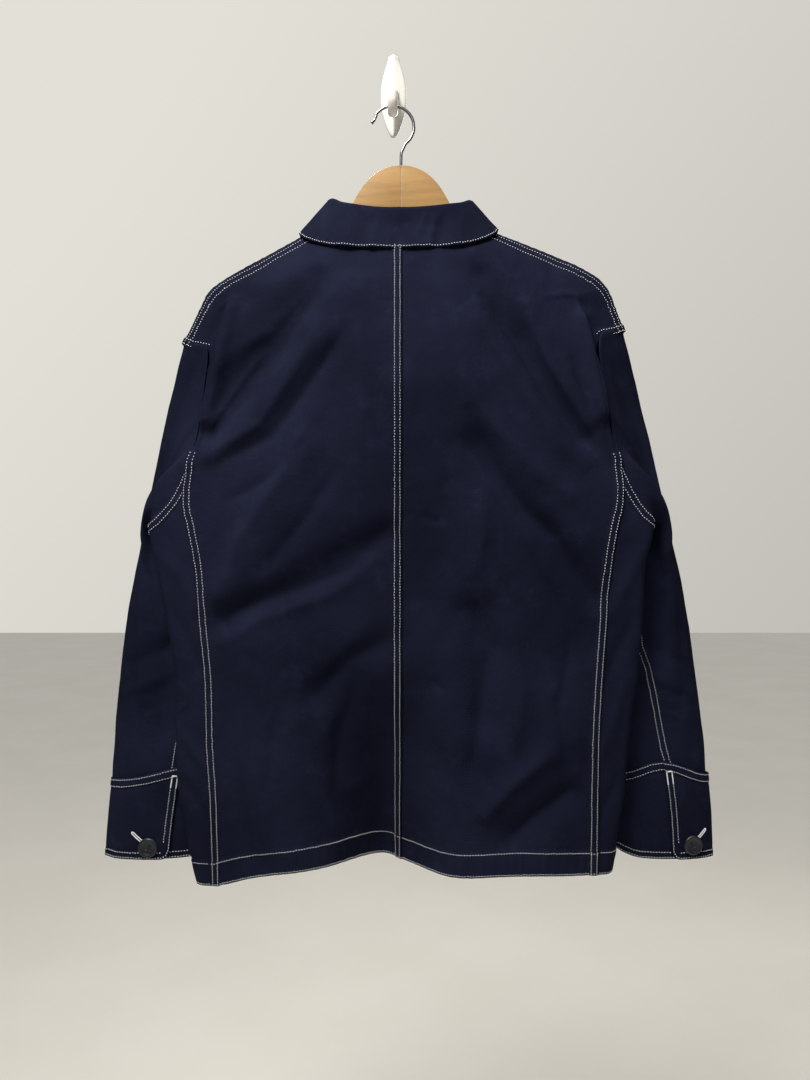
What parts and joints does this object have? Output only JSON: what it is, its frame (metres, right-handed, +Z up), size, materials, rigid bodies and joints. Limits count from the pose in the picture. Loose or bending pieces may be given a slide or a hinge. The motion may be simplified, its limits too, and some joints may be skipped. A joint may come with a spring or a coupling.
{
  "type": "chore jacket on a wooden hanger and wall hook",
  "caption": "Button-front work jacket in navy twill with contrast stitching, hanging closed from a wooden hanger with a wire hook on a white wall hook.",
  "frame": {"origin": "on the flat back face of the wall hook's plate, which lies on the wall", "axes": "+Z up, +Y into the wall, +X towards the wearer's right; the jacket's back faces -Y and its front faces the wall"},
  "size_m": [0.6906, 0.1086, 0.9447],
  "materials": {
    "navy_twill": "matt cotton twill",
    "button": "matt, raised rim",
    "beech": "satin lacquer",
    "wire": "bright plated",
    "moulding": "glossy white"
  },
  "bodies": {
    "root": {"back_left": "navy_twill", "back_right": "navy_twill", "front_left": "navy_twill", "front_right": "navy_twill", "sleeve_left": "navy_twill", "sleeve_right": "navy_twill", "cuff_left": "navy_twill", "cuff_right": "navy_twill", "collar": "navy_twill", "cuff_button_left": "button", "cuff_button_right": "button", "front_button_1": "button", "front_button_2": "button", "front_button_3": "button", "front_button_4": "button", "front_button_5": "button", "hanger_wing_left": "beech", "hanger_wing_right": "beech", "hanger_hook": "wire", "wall_hook": "moulding"}
  },
  "joints": []
}
